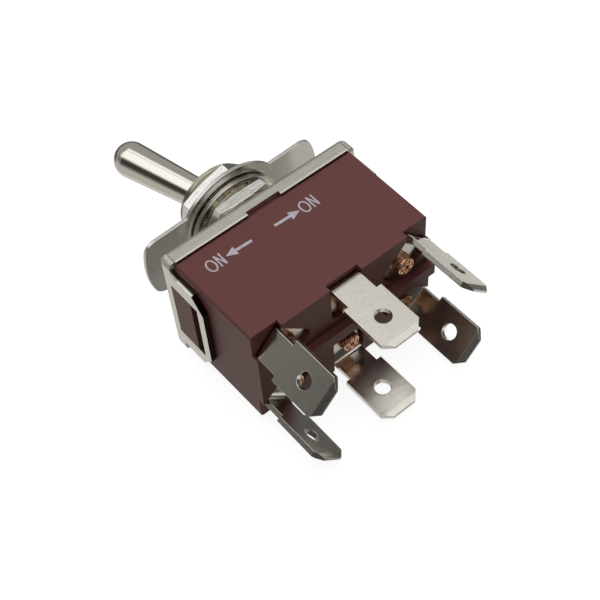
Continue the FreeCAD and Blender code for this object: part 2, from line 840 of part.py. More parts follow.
def arm_top(reach):
    """The top of a rocker's outer arm above its bar, at a distance from the bar."""
    return d.rocker_sheet / 2 + knee_rise + (reach - d.rocker_knee) * outer_slope


def place_on_rocker(thing, label, up):
    """Puts a piece at its rocker's bar, tipped towards the right."""
    place(thing, label, y=pole_y * up, z=rocker_level, turn=tilted(-d.rocker_tilt))


def make_rocker(face, up):
    """Brass strip bent to a shallow W, with the bar that it rocks on."""
    body = new_body(f"{face}_rocker")
    half = d.rocker_sheet / 2
    half_y = d.rocker_width / 2
    bar_y = d.bar_length / 2
    top_end, top_knee = arm_top(rocker_reach), arm_top(d.rocker_knee)
    add(body, "strip", "y", -half_y, half_y, outline(
        (-rocker_reach, top_end), (-rocker_reach, top_end - d.rocker_sheet),
        (-d.rocker_knee, top_knee - d.rocker_sheet), (0, -half),
        (d.rocker_knee, top_knee - d.rocker_sheet), (rocker_reach, top_end - d.rocker_sheet),
        (rocker_reach, top_end), (d.rocker_knee, top_knee), (0, half),
        (-d.rocker_knee, top_knee)))
    add(body, "bar", "y", -bar_y, bar_y, circle(d.bar_radius))
    place_on_rocker(body, f"{face}_rocker", up)


def make_moving_contact(face, up, hand, side):
    """Silver button under one end of a rocker."""
    button = doc.addObject("Part::Cylinder", f"{face}_{hand}_moving_button")
    slope = Rotation(Vector(0, 1, 0), -float(d.rocker_tilt) * side)
    x = (contact_reach + d.contact_height * of_angle("sin", d.rocker_tilt)) * side
    z = arm_top(contact_reach) - d.rocker_sheet - d.contact_height * of_angle("cos", d.rocker_tilt)
    button.Placement = Placement(Vector(float(x), 0, float(z)), slope)
    for path, value in (("Radius", d.contact_radius), ("Height", d.contact_height),
                        ("Placement.Base.x", x), ("Placement.Base.z", z)):
        bind(button, path, value)
    contact = held_alone(f"{face}_{hand}_moving_contact", button)
    place_on_rocker(contact, f"{face}_{hand}_moving_contact", up)


def closed_contact():
    """Where a moving contact's face comes to rest: distance from the middle and level."""
    x = contact_reach + d.contact_height * of_angle("sin", d.rocker_tilt)
    z = arm_top(contact_reach) - d.rocker_sheet - d.contact_height * of_angle("cos", d.rocker_tilt)
    sine, cosine = of_angle("sin", d.rocker_tilt), of_angle("cos", d.rocker_tilt)
    return x * cosine + z * sine, rocker_level + z * cosine - x * sine


def make_fixed_contact(face, up, hand, side):
    """Bracket riveted to the floor and the silver button on its top."""
    contact_x, face_level = closed_contact()
    button_top = face_level - d.contact_gap
    shelf = button_top - d.contact_height
    bracket_y = (corner_rivet_y + pole_y) / 2
    aside = (corner_rivet_y - bracket_y) * (side * up)
    far, near = bracket_reach, bracket_reach - d.bracket_length
    web = far - d.bracket_sheet
    half_y = d.bracket_width / 2
    body = new_body(f"{face}_{hand}_contact_bracket")
    add(body, "strip", "y", -half_y, half_y, outline(
        (near, cavity_level), (far, cavity_level), (far, shelf), (near, shelf),
        (near, shelf - d.bracket_sheet), (web, shelf - d.bracket_sheet),
        (web, bracket_top), (near, bracket_top)))
    cut(body, "rivet_hole", "z", cavity_level, bracket_top,
        circle(d.rivet_radius, corner_rivet_x, aside))
    half_turn = turned(0 if side > 0 else 180)
    place(body, f"{face}_{hand}_contact_bracket", y=bracket_y * up, turn=half_turn)
    button = lathe_form(f"{face}_{hand}_fixed_button", shelf, button_top, d.contact_radius)
    held = held_alone(f"{face}_{hand}_fixed_contact", button)
    place(held, f"{face}_{hand}_fixed_contact", x=contact_x * side, y=pole_y * up)


def make_fulcrum(face, up):
    """Bent bracket with a notch in each cheek for a rocker's bar."""
    body = new_body(f"{face}_fulcrum")
    inner = d.rocker_width / 2 + d.cheek_gap
    outer = inner + d.cheek_sheet
    foot_x, head_x = d.cheek_foot / 2, d.cheek_head / 2
    top = rocker_level + d.cheek_above_bar
    notch = d.bar_radius + d.bar_fit
    add(body, "base", "z", cavity_level, bracket_top, rectangle(-foot_x, foot_x, -outer, outer))
    for name, side in (("outer_cheek", 1), ("inner_cheek", -1)):
        low, high = spread(side, inner, outer)
        add(body, name, "y", low, high, outline(
            (-foot_x, cavity_level), (foot_x, cavity_level), (head_x, top), (notch, top),
            (notch, rocker_level), (0, rocker_level - notch, notch, -1),
            (-notch, rocker_level, notch, -1), (-notch, top), (-head_x, top)))
    cut(body, "rivet_hole", "z", cavity_level, bracket_top, circle(d.rivet_radius, 0, middle_rivet_y - pole_y))
    place(body, f"{face}_fulcrum", y=pole_y * up, turn=turned(0 if up > 0 else 180))


# Terminals
def make_terminal(name, x, y, angle, out, reach, radius):
    """Tab bent from a riveted foot, with shoulders, a hole and a bevelled tip."""
    body = new_body("terminal_" + name)
    bend_y = out - bend_outer
    blade_x = d.blade_width / 2
    tip_x = blade_x - d.blade_corner
    inner = out - d.terminal_sheet
    add(body, "foot", "z", foot_under, well_level, foot_outline(neck_x, reach, radius, bend_y))
    add(body, "bend", "x", -neck_x, neck_x, outline(
        (bend_y, foot_under), (inner, bend_level, d.terminal_bend, -1),
        (out, bend_level), (bend_y, well_level, bend_outer, 1)))
    add(body, "blade", "y", inner, out, outline(
        (-neck_x, bend_level), (-neck_x, shoulder_level), (-blade_x, shoulder_level),
        (-blade_x, tip_level + d.blade_corner), (-tip_x, tip_level), (tip_x, tip_level),
        (blade_x, tip_level + d.blade_corner), (blade_x, shoulder_level), (neck_x, shoulder_level),
        (neck_x, bend_level)))
    bevel_top = tip_level + d.blade_bevel_height
    cut(body, "tip_bevels", "x", -blade_x, blade_x,
        outline((out, bevel_top), (out - d.blade_bevel, tip_level), (out, tip_level)),
        outline((inner, bevel_top), (inner, tip_level), (inner + d.blade_bevel, tip_level)))
    hole_level = tip_level + d.blade_hole_inset
    cut(body, "blade_hole", "y", inner, out, circle(d.blade_hole_radius, 0, hole_level))
    cut(body, "rivet_hole", "z", foot_under, well_level, circle(d.rivet_radius))
    place(body, "terminal_" + name, x=x, y=y, turn=turned(angle))


def make_rivet(name, x, y):
    """Semi-tubular rivet whose end is pressed into a pitted button on the terminal's foot."""
    body = new_body("rivet_" + name)
    head_top = bracket_top + d.rivet_head_height
    end = foot_under - d.rivet_flare_height
    bore_top = end + d.rivet_bore_depth
    revolve(body, "Revolution", "turning", outline(
        (0, head_top), (0, bore_top), (d.rivet_bore_radius, bore_top), (d.rivet_bore_radius, end),
        (d.rivet_end_radius - d.rivet_end_edge, end), (d.rivet_end_radius, end + d.rivet_end_edge),
        (d.rivet_flare_radius, foot_under), (d.rivet_radius, foot_under),
        (d.rivet_radius, bracket_top), (d.rivet_head_radius, bracket_top),
        (d.rivet_head_radius, head_top)))
    half = d.rivet_pit_width / 2
    pit = cut(body, "pit", "z", end, end + d.rivet_pit_depth, outline(
        (d.rivet_pit_start, 0), (d.rivet_pit_end, -half), (d.rivet_pit_end, half)))
    repeat_round(body, "pits", pit, RIVET_PITS)
    place(body, "rivet_" + name, x=x, y=y)


def build():
    """Makes every piece of the switch."""
    make_case()
    make_cover()
    make_liner()
    make_bushing()
    make_nut("lower_nut", d.lower_nut_level, d.lower_nut_height, d.lower_nut_flats, d.lower_nut_yaw)
    make_lock_washer()
    make_legend_plate()
    make_nut("upper_nut", upper_nut_level, d.upper_nut_height, d.upper_nut_flats, d.upper_nut_yaw)
    make_lever()
    make_pivot_pin()
    make_actuator()
    for face, up in FRONT_REAR.items():
        make_plunger(face, up)
        make_spring(face, up)
        make_rocker(face, up)
        make_fulcrum(face, up)
        for hand, side in LEFT_RIGHT.items():
            make_moving_contact(face, up, hand, side)
            make_fixed_contact(face, up, hand, side)
    for spot in terminal_spots():
        make_terminal(*spot)
        make_rivet(*spot[:3])
    doc.recompute()


def check():
    """Stops on a failed feature, a feature that changes nothing or a bad solid."""
    for thing in doc.Objects:
        if {"Invalid", "Error"} & set(thing.State):
            raise RuntimeError(f"{thing.Label} failed: {thing.State}")
    for body in (p for p in pieces if p.TypeId == "PartDesign::Body"):
        volume = 0
        for feature in body.Group:
            if feature.TypeId == "Sketcher::SketchObject":
                continue
            grows = feature.TypeId.endswith(("Pad", "Revolution"))
            if (feature.Shape.Volume > volume) != grows and not feature.TypeId.endswith("Pattern"):
                raise RuntimeError(f"{body.Label}: {feature.Label} has no effect")
            volume = feature.Shape.Volume
    for piece in pieces:
        if piece.Shape.isNull() or not piece.Shape.isValid() or len(piece.Shape.Solids) != 1:
            raise RuntimeError(f"{piece.Label} is not one valid solid")


def export():
    """Writes each piece to its own file."""
    os.makedirs("parts", exist_ok=True)
    for piece in pieces:
        piece.Shape.exportStep(os.path.join("parts", piece.Label + ".step"))
    print(len(pieces), "pieces written")


build()
check()
export()
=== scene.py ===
# Looks of a two-pole panel toggle switch lying on its back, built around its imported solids.
# Lengths are in millimetres until a mesh or a node is made, which takes metres.
import json
import math

import bmesh
import bpy
from mathutils import Matrix, Vector


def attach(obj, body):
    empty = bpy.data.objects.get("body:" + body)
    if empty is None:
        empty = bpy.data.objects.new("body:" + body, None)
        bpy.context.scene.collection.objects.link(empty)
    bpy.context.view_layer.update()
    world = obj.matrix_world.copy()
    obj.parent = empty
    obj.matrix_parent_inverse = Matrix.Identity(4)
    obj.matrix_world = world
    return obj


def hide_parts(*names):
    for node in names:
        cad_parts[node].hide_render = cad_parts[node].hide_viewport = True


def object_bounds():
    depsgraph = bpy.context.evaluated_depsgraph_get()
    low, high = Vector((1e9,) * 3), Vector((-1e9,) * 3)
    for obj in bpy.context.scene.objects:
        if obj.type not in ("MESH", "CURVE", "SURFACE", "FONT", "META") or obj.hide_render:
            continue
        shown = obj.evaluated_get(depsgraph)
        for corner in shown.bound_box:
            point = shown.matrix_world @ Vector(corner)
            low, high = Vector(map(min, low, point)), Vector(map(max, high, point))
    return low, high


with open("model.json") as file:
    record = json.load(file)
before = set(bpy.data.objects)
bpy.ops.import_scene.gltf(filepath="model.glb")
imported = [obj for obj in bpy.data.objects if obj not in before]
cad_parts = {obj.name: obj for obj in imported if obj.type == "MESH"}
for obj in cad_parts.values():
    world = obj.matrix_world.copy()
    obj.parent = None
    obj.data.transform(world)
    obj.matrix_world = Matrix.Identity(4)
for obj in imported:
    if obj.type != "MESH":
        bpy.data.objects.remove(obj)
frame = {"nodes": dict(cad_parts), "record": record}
nodes = frame["nodes"]
loaded_low, loaded_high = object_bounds()
scene = bpy.context.scene

MM = 0.001

# Thread on the bushing
THREAD_RADIUS = 6.0
THREAD_DEPTH = 0.42
THREAD_PITCH = 0.8
THREAD_FOOT = -0.8
THREAD_TOP = 10.95
THREAD_CHAMFER = 0.4
THREAD_STEEPNESS = 1.3
THREAD_CREST = 0.15
THREAD_SHALLOW_FROM = 0.1
THREAD_SHALLOW_OVER = 0.6
THREAD_SIDES = 96
THREAD_STEPS = 10
PLAIN_SLACK = (0.001, 0.01)
PLAIN_TILT = 0.9

# Print on the case: x along the case, y towards the tabs
PRINTED_FACE = 9.25
PRINT_HEIGHT = 0.012
ARROWS = {"left_arrow": ((4.95, 5.90), (9.13, 5.74)), "right_arrow": ((1.17, 5.95), (-3.00, 6.13))}
ARROW_HEAD = 1.6
ARROW_HALF_HEAD = 0.76
ARROW_HALF_TAIL = 0.23
WORDS = {"left_on": (11.45, 5.78), "right_on": (-3.90, 6.07)}
LETTER_STROKE = 0.24
LETTER_O_HALF = (0.74, 1.1)
LETTER_N_HALF = (0.5, 1.08)
LETTER_N_STEP = (-1.45, -0.08)
LETTER_O_SIDES = 28

# Cut edges of the cover's legs, across the sheet and down the leg
LEG_INNER = 14.8
LEG_SHEAR = 15.5
LEG_OUTER = 15.82
LEG_START = 0.9
LEG_TAPER = 6.85
LEG_SIDE = (7.0, 8.5)
CUT_FACING = 0.9

# Painted highlight along the burnished lower cut edge of the cover's flanges
FLANGE_FACE = 9.3
FLANGE_RIM = (2.2, 2.6)

# Where the cover's rounded corners begin, along and across the case
CORNER_X = 14.86
CORNER_Z = 8.66

# An upper limit beyond any part of the switch
BEYOND = 1000.0

# Colours
CASE_DARK = (0.112, 0.033, 0.031, 1)
CASE_LIGHT = (0.137, 0.042, 0.039, 1)
CASE_SPECK = (0.23, 0.095, 0.088, 1)
# Painted highlight colour for the moulding's rounded edges
CASE_EDGE_HIGHLIGHT = (0.26, 0.11, 0.10, 1)
# Duller steel of the sheared cut edges, darkened further with painted shade
TORN_AND_SHADED_STEEL = (0.10, 0.10, 0.075, 1)
# Painted shade for the narrowing ends of the cover's legs
SHADED_STEEL = (0.05, 0.03, 0.03, 1)
COPPER_DARK = (0.66, 0.29, 0.17, 1)
COPPER_LIGHT = (0.99, 0.62, 0.42, 1)
INK_DARK = (0.40, 0.36, 0.41, 1)
INK_LIGHT = (0.52, 0.48, 0.53, 1)
# Grey of the painted highlight along plated edges
EDGE_HIGHLIGHT_LEVEL = 0.93
# White of the painted highlight on the cover's burnished cut edges
CUT_EDGE_HIGHLIGHT_LEVEL = 1.0

# Studio: the spans of direction and the light, or share of light, at their two ends
NEAR_EDGE = (-0.61, -0.535, 0, 1)
SEAM_NEAR_SIDE = (-0.50, -0.47, 1, 0.25)
SEAM_FAR_SIDE = (-0.47, -0.44, 0.25, 1)
FAR_EDGE = (0.0, 0.2, 1, 0)
LEFT_EDGE = (0.62, 0.84, 1, 0)
LEFT_EDGE_HEIGHT = (0.30, 0.60, 0, 1)
RIGHT_DIM = (-0.46, -0.28, 0.5, 1)
LEFT_WALL_DARK = (-0.38, -0.445, 0.05, 0.20)
LEFT_WALL_HEIGHT = (0.20, -0.30)
LEFT_WALL_FOOT = 0.52
RIGHT_WALL = (0.15, -0.25, 0.36, 0.07)
WALL_CHANGE = (0.35, 0.72, 0, 1)
TAB_WALL_START = (0.10, 0.45, 0, 1)
TAB_WALL = 0.065
LOW_FLOOR_LEFT_START = (-0.10, 0.22, 0.22, 0.72)
LOW_FLOOR_LEFT_END = (0.36, 0.46, 1, 0.7)
LOW_FLOOR_RIGHT = (-0.28, -0.60, 0.22, 0.95)
LOW_FLOOR_HEIGHT = (-0.41, -0.49, 0, 1)
ALONG_EDGE = 0.167
BEHIND_EDGE = -0.6
CEILING_LIGHT = 1.22
WALL_TINT = (1.0, 0.985, 0.93, 1)
WHITE = (1, 1, 1, 1)

# Broad light from above
KEY_POWER = 0.65
KEY_SPREAD = 50
KEY_FROM = (-0.25, -0.45, 0.86)

# White floor under the switch
FLOOR_GAP = 0.02
FLOOR_HALF = 3000
FLOOR_GLOW = 0.85
FLOOR_GREY = 0.3

# Camera found from the photograph
CAMERA_PLACE = (58.04, 89.95, 129.76)
CAMERA_RIGHT = (-0.76954, 0.63643, -0.05260)
CAMERA_UP = (-0.53753, -0.60107, 0.59142)
CAMERA_BACK = (0.34479, 0.48339, 0.80464)
CAMERA_LENS = 71.59
CAMERA_SENSOR = 36


# Node trees
class Wiring:
    """A node tree that is wired one node at a time."""

    span_form = "LINEAR"

    def __init__(self, tree):
        self.tree = tree

    def node(self, kind, inputs=None, **settings):
        """Adds a node; an input is given as a number, a colour or another node's output."""
        made = self.tree.nodes.new(kind)
        for name, value in settings.items():
            setattr(made, name, value)
        for name, value in (inputs or {}).items():
            self.feed(made.inputs[name], value)
        return made

    def feed(self, socket, value):
        """Links or sets one input."""
        if isinstance(value, bpy.types.NodeSocket):
            self.tree.links.new(value, socket)
        else:
            socket.default_value = value

    def maths(self, operation, *values):
        """The result of one operation on numbers or outputs."""
        return self.node("ShaderNodeMath", dict(enumerate(values)), operation=operation).outputs[0]

    def product(self, first, *others):
        """Values multiplied with each other."""
        for other in others:
            first = self.maths("MULTIPLY", first, other)
        return first

    def larger(self, first, second):
        """The larger of two values."""
        return self.maths("MAXIMUM", first, second)

    def size_of(self, value):
        """A value without its sign."""
        return self.maths("ABSOLUTE", value)

    def within(self, value, low, high):
        """One between two limits in millimetres and nothing beyond them."""
        above = self.maths("GREATER_THAN", value, low * MM)
        below = self.maths("LESS_THAN", value, high * MM)
        return self.product(above, below)

    def span(self, value, low, high, first, last):
        """Maps a value from one span to another, held at the ends."""
        values = {"Value": value, "From Min": low, "From Max": high, "To Min": first, "To Max": last}
        return self.node("ShaderNodeMapRange", values, interpolation_type=self.span_form).outputs[0]

    def blend(self, factor, first, second):
        """A value between two others."""
        return self.node("ShaderNodeMix", {0: factor, 2: first, 3: second}).outputs[0]

    def mix(self, factor, first, second):
        """A blend of two colours."""
        return self.node("ShaderNodeMix", {0: factor, 6: first, 7: second}, data_type="RGBA").outputs[2]

    def parts(self, vector):
        """The X, Y and Z outputs of a vector."""
        outputs = self.node("ShaderNodeSeparateXYZ", {0: vector}).outputs
        return outputs["X"], outputs["Y"], outputs["Z"]


class Finish(Wiring):
    """A procedural material."""

    def __init__(self, name):
        self.material = bpy.data.materials.new(name)
        self.material.use_nodes = True
        super().__init__(self.material.node_tree)
        self.shader = self.tree.nodes["Principled BSDF"]
        self.spot = self.node("ShaderNodeTexCoord").outputs["Object"]

    def set(self, **values):
        """Feeds inputs of the shader; an underscore stands for a space."""
        for name, value in values.items():
            self.feed(self.shader.inputs[name.replace("_", " ").title()], value)

    def noise(self, per_mm, detail=3.0, stretch=(1, 1, 1), rough=0.55):
        """Noise with a number of waves per millimetre, finer where stretch is larger."""
        scale = [per_mm / MM * s for s in stretch]
        spot = self.node("ShaderNodeMapping", {"Vector": self.spot, "Scale": scale})
        values = {"Vector": spot.outputs[0], "Scale": 1.0, "Detail": detail, "Roughness": rough}
        return self.node("ShaderNodeTexNoise", values).outputs["Fac"]

    def bump(self, height, depth, below=None):
        """Relief of a depth in millimetres, on top of another normal."""
        values = {"Height": height, "Distance": depth * MM, "Strength": 1.0}
        if below is not None:
            values["Normal"] = below
        return self.node("ShaderNodeBump", values).outputs[0]

    def soft_edge(self, radius):
        """The normal with edges rounded by a radius in millimetres."""
        return self.node("ShaderNodeBevel", {"Radius": radius * MM}, samples=6).outputs[0]

    def flat_normal(self):
        """The normal of the mesh itself."""
        return self.node("ShaderNodeNewGeometry").outputs["Normal"]

    def edge_mask(self, softened):
        """One along edges and nothing on flat faces."""
        inputs = {0: softened, 1: self.flat_normal()}
        facing = self.node("ShaderNodeVectorMath", inputs, operation="DOT_PRODUCT").outputs["Value"]
        return self.span(facing, 0.985, 0.8, 0.0, 1.0)


class Studio(Wiring):
    """The world round the switch, whose lights run softly into each other."""

    span_form = "SMOOTHSTEP"


# Materials
def grey(level, warmth=0.0):
    """A grey colour, a little yellow for a positive warmth."""
    return (level * (1 + warmth), level, level * (1 - 2 * warmth), 1.0)


def case_moulding():
    """Maroon phenolic moulding with a fine pale grain and a painted highlight along its edges."""
    finish = Finish("case_moulding")
    rounded = finish.soft_edge(0.12)
    cloudy = finish.noise(0.30, detail=4)
    grain = finish.noise(7, detail=4, rough=0.65)
    # Edges painted lighter: a painted highlight where the rounded edges catch the light
    wear_and_highlight = finish.product(finish.edge_mask(rounded), 0.35)
    colour = finish.mix(cloudy, CASE_DARK, CASE_LIGHT)
    colour = finish.mix(finish.span(grain, 0.58, 0.74, 0.0, 0.6), colour, CASE_SPECK)
    colour = finish.mix(wear_and_highlight, colour, CASE_EDGE_HIGHLIGHT)
    relief = finish.bump(grain, 0.010, finish.bump(cloudy, 0.02, rounded))
    finish.set(base_color=colour, roughness=finish.span(grain, 0.3, 0.7, 0.42, 0.55), normal=relief)
    finish.shader.inputs["Specular IOR Level"].default_value = 0.38
    return finish


def plated(name, level, warmth, rough, brushing, depth, stretch=(1, 1, 1), mottle=0.25, edge=0.12,
           extra=None):
    """Nickel plating with fine brushing, speckles and softened edges with a painted highlight."""
    finish = Finish(name)
    rounded = finish.soft_edge(edge)
    brushed = finish.noise(brushing, 3, stretch, 0.65)
    clouds = finish.noise(0.5)
    speckles = finish.noise(9, detail=2)
    low = grey(level * (1 - mottle), warmth * 1.6)
    high = grey(level * (1 + mottle * 0.15), warmth)
    colour = finish.mix(finish.span(speckles, 0.35, 0.6, 0, 1), low, high)
    # Edges painted brighter: a painted highlight
    colour = finish.mix(finish.edge_mask(rounded), colour, grey(EDGE_HIGHLIGHT_LEVEL))
    gloss = finish.span(brushed, 0.3, 0.7, rough * 0.75, rough * 1.3)
    relief = finish.bump(brushed, depth, finish.bump(clouds, depth * 2, rounded))
    if extra is not None:
        colour, gloss, relief = extra(finish, colour, gloss, relief)
    finish.set(base_color=colour, metallic=1.0, roughness=gloss, normal=relief)
    return finish


def folded_sheet(finish, colour, gloss, relief):
    """The cover's cut edges, whose sheared zone is duller and darkened with painted shade and whose
    burnished outer strip and flange edges carry a painted white highlight; painted shade over the narrowing
    leg ends; its dull, uneven corners.
    """
    along, down, aside = finish.parts(finish.spot)
    across, aside = finish.size_of(along), finish.size_of(aside)
    up = finish.parts(finish.flat_normal())[2]
    facing = finish.maths("GREATER_THAN", up, CUT_FACING)
    side = finish.product(facing, finish.within(aside, *LEG_SIDE), finish.within(down, LEG_START, LEG_TAPER))
    # Sheared zone of the legs' cut edges: duller steel and painted shade
    torn_and_shaded = finish.product(side, finish.within(across, LEG_INNER, LEG_SHEAR))
    # Painted highlight on the burnished outer strip of the legs' cut edges
    lip_highlight = finish.product(side, finish.within(across, LEG_SHEAR, BEYOND))
    # Painted highlight along the flanges' lower cut edge
    rim_highlight = finish.product(facing, finish.within(down, *FLANGE_RIM), finish.within(aside, FLANGE_FACE, BEYOND))
    # Painted shade over the narrowing ends of the legs
    shaded_leg_end = finish.product(finish.within(across, LEG_INNER, LEG_OUTER),
                             finish.within(down, LEG_TAPER, BEYOND))
    corner = finish.product(finish.within(across, CORNER_X, BEYOND), finish.within(aside, CORNER_Z, BEYOND))
    # Both strips painted white as a highlight
    colour = finish.mix(finish.larger(lip_highlight, rim_highlight), colour, grey(CUT_EDGE_HIGHLIGHT_LEVEL))
    # Painted shade over the sheared zone
    colour = finish.mix(torn_and_shaded, colour, TORN_AND_SHADED_STEEL)
    colour = finish.mix(shaded_leg_end, colour, SHADED_STEEL)
    gloss = finish.span(corner, 0, 1, gloss, 0.6)
    relief = finish.bump(finish.product(corner, finish.noise(1.6, detail=2)), 0.25, relief)
    return colour, gloss, relief


def copper():
    """Copper that was pressed and is lumpy and scratched."""
    finish = Finish("rivet_copper")
    rounded = finish.soft_edge(0.1)
    lumps = finish.noise(2.2)
    scratches = finish.noise(7)
    colour = finish.mix(finish.span(lumps, 0.35, 0.65, 0, 1), COPPER_DARK, COPPER_LIGHT)
    relief = finish.bump(scratches, 0.02, finish.bump(lumps, 0.12, rounded))
    gloss = finish.span(scratches, 0.3, 0.7, 0.16, 0.34)
    finish.set(base_color=colour, metallic=1.0, roughness=gloss, normal=relief)
    return finish


def plain(name, colour, rough, metallic=0.0):
    """A fine-grained finish for pieces that hardly show."""
    finish = Finish(name)
    grain = finish.noise(4)
    darker = tuple(c * 0.8 for c in colour)
    shade = finish.mix(grain, darker + (1.0,), colour + (1.0,))
    relief = finish.bump(grain, 0.01, finish.soft_edge(0.08))
    gloss = finish.span(grain, 0.3, 0.7, rough * 0.85, rough * 1.15)
    finish.set(base_color=shade, metallic=metallic, roughness=gloss, normal=relief)
    return finish


def print_ink():
    """Pale printing ink with slight wear."""
    finish = Finish("print_ink")
    wear_and_highlight = finish.noise(5)
    colour = finish.mix(finish.span(wear_and_highlight, 0.4, 0.6, 0, 1), INK_DARK, INK_LIGHT)
    finish.set(base_color=colour, roughness=0.55, normal=finish.bump(wear_and_highlight, 0.005))
    return finish


FINISHES = {
    "case_moulding": case_moulding(),
    "cover_plating": plated("cover_plating", 0.69, 0.03, rough=0.24, brushing=5, depth=0.003,
                            stretch=(0.06, 1, 1), mottle=0.12, edge=0.06, extra=folded_sheet),
    "plate_plating": plated("plate_plating", 0.78, 0.02, rough=0.22, brushing=4, depth=0.002, mottle=0.05),
    "lever_plating": plated("lever_plating", 0.78, 0.03, rough=0.09, brushing=6, depth=0.001,
                            stretch=(1, 0.1, 1), mottle=0.1),
    "bushing_plating": plated("bushing_plating", 0.60, 0.08, rough=0.2, brushing=5, depth=0.004,
                              mottle=0.4),
    "nut_plating": plated("nut_plating", 0.96, 0.01, rough=0.16, brushing=3.2, depth=0.012,
                          stretch=(0.05, 1, 0.05), mottle=0.12),
    "washer_steel": plated("washer_steel", 0.93, 0.02, rough=0.16, brushing=5, depth=0.003),
    "terminal_plating": plated("terminal_plating", 0.72, 0.035, rough=0.2, brushing=5, depth=0.007,
                               stretch=(0.12, 1, 1), mottle=0.1),
    "rivet_copper": copper(),
    "liner_fibre": plain("liner_fibre", (0.05, 0.045, 0.04), 0.7),
    "nylon": plain("nylon", (0.72, 0.70, 0.62), 0.4),
    "pin_steel": plain("pin_steel", (0.7, 0.7, 0.7), 0.2, metallic=1.0),
    "spring_steel": plain("spring_steel", (0.6, 0.6, 0.6), 0.25, metallic=1.0),
    "contact_brass": plain("contact_brass", (0.82, 0.62, 0.30), 0.28, metallic=1.0),
    "contact_silver": plain("contact_silver", (0.88, 0.88, 0.85), 0.2, metallic=1.0),
}
INK = print_ink()


# Pieces
def dress(thing, finish):
    """Gives a piece one material."""
    thing.data.materials.clear()
    thing.data.materials.append(finish.material)


def add_piece(name, mesh, finish):
    """Adds a mesh as a piece that is fixed to the housing."""
    piece = bpy.data.objects.new(name, mesh)
    scene.collection.objects.link(piece)
    dress(piece, finish)
    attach(piece, "housing")
    return piece


# Thread on the bushing
def thread_radius(height, turn):
    """How far the thread stands out at a height and a turn about the axis."""
    phase = (height / THREAD_PITCH - turn / (2 * math.pi)) % 1.0
    flank = min(max(abs(2 * phase - 1) * THREAD_STEEPNESS - THREAD_CREST, 0.0), 1.0)
    start = min(max((height - THREAD_SHALLOW_FROM) / THREAD_SHALLOW_OVER, 0.0), 1.0)
    chamfered = THREAD_RADIUS - max(0.0, height - (THREAD_TOP - THREAD_CHAMFER))
    return min(THREAD_RADIUS - THREAD_DEPTH * flank * start, chamfered)


def plain_outside(mesh):
    """The faces of the bushing's plain cylinder and its chamfer."""
    inner = (THREAD_RADIUS - THREAD_CHAMFER - PLAIN_SLACK[0]) * MM
    outer = (THREAD_RADIUS + PLAIN_SLACK[1]) * MM
    return [face for face in mesh.faces if abs(face.normal.y) < PLAIN_TILT
            and all(inner < math.hypot(v.co.x, v.co.z) < outer for v in face.verts)]


def make_thread():
    """The bushing with a cut thread in place of its plain outside."""
    source = bmesh.new()
    source.from_mesh(nodes["bushing"].data)
    bmesh.ops.delete(source, geom=plain_outside(source), context="FACES")
    length = THREAD_TOP - THREAD_FOOT
    rows = round(length / THREAD_PITCH * THREAD_STEPS)
    rings = []
    for row in range(rows + 1):
        height = THREAD_FOOT + length * row / rows
        ring = []
        for side in range(THREAD_SIDES):
            turn = 2 * math.pi * side / THREAD_SIDES
            radius = thread_radius(height, turn) * MM
            ring.append(source.verts.new((radius * math.cos(turn), -height * MM, radius * math.sin(turn))))
        rings.append(ring)
    for low, high in zip(rings, rings[1:]):
        for side in range(THREAD_SIDES):
            following = (side + 1) % THREAD_SIDES
            face = source.faces.new((low[side], low[following], high[following], high[side]))
            face.smooth = True
    mesh = bpy.data.meshes.new("threaded_bushing")
    source.to_mesh(mesh)
    source.free()
    piece = add_piece("threaded_bushing", mesh, FINISHES["bushing_plating"])
    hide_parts("bushing")


# Print on the case
def flat_mark(name, outlines):
    """Flat closed outlines as one printed piece."""
    height = PRINTED_FACE + PRINT_HEIGHT
    points, faces = [], []
    for corners in outlines:
        faces.append(tuple(range(len(points), len(points) + len(corners))))
        points.extend(Vector((x, y, height)) * MM for x, y in corners)
    mesh = bpy.data.meshes.new(name)
    mesh.from_pydata(points, [], faces)
    mesh.validate()
    add_piece(name, mesh, INK)


def make_arrow(name, tail, tip):
    """An arrow with a straight tail and a triangular head."""
    tail, tip = Vector(tail), Vector(tip)
    along = (tip - tail).normalized()
    aside = Vector((-along.y, along.x))
    neck = tip - along * ARROW_HEAD
    tail_side, head_side = aside * ARROW_HALF_TAIL, aside * ARROW_HALF_HEAD
    corners = [tail - tail_side, neck - tail_side, neck - head_side, tip,
               neck + head_side, neck + tail_side, tail + tail_side]
    flat_mark(name, [corners])


def letter_o(x, y, half_width, half_height):
    """An oval ring, as quads."""
    def ring_point(turn, inset):
        return x + (half_width - inset) * math.cos(turn), y + (half_height - inset) * math.sin(turn)

    quads = []
    for side in range(LETTER_O_SIDES):
        start, end = (2 * math.pi * s / LETTER_O_SIDES for s in (side, side + 1))
        quads.append([ring_point(start, 0), ring_point(end, 0),
                      ring_point(end, LETTER_STROKE), ring_point(start, LETTER_STROKE)])
    return quads


def letter_n(x, y, half_width, half_height):
    """One zigzag outline; the text's left is the larger x."""
    top, foot = y - half_height, y + half_height
    left, right = x + half_width, x - half_width
    left_inner, right_inner = left - LETTER_STROKE, right + LETTER_STROKE
    lean = LETTER_STROKE * 2 * half_height / (2 * half_width - LETTER_STROKE)
    return [[(left, foot), (left, top), (left_inner, top), (right_inner, foot - lean),
             (right_inner, top), (right, top), (right, foot), (right_inner, foot),
             (left_inner, top + lean), (left_inner, foot)]]


def make_word(name, x, y):
    """The word ON, whose two letters stand side by side."""
    step_x, step_y = LETTER_N_STEP
    flat_mark(name, letter_o(x, y, *LETTER_O_HALF) + letter_n(x + step_x, y + step_y, *LETTER_N_HALF))


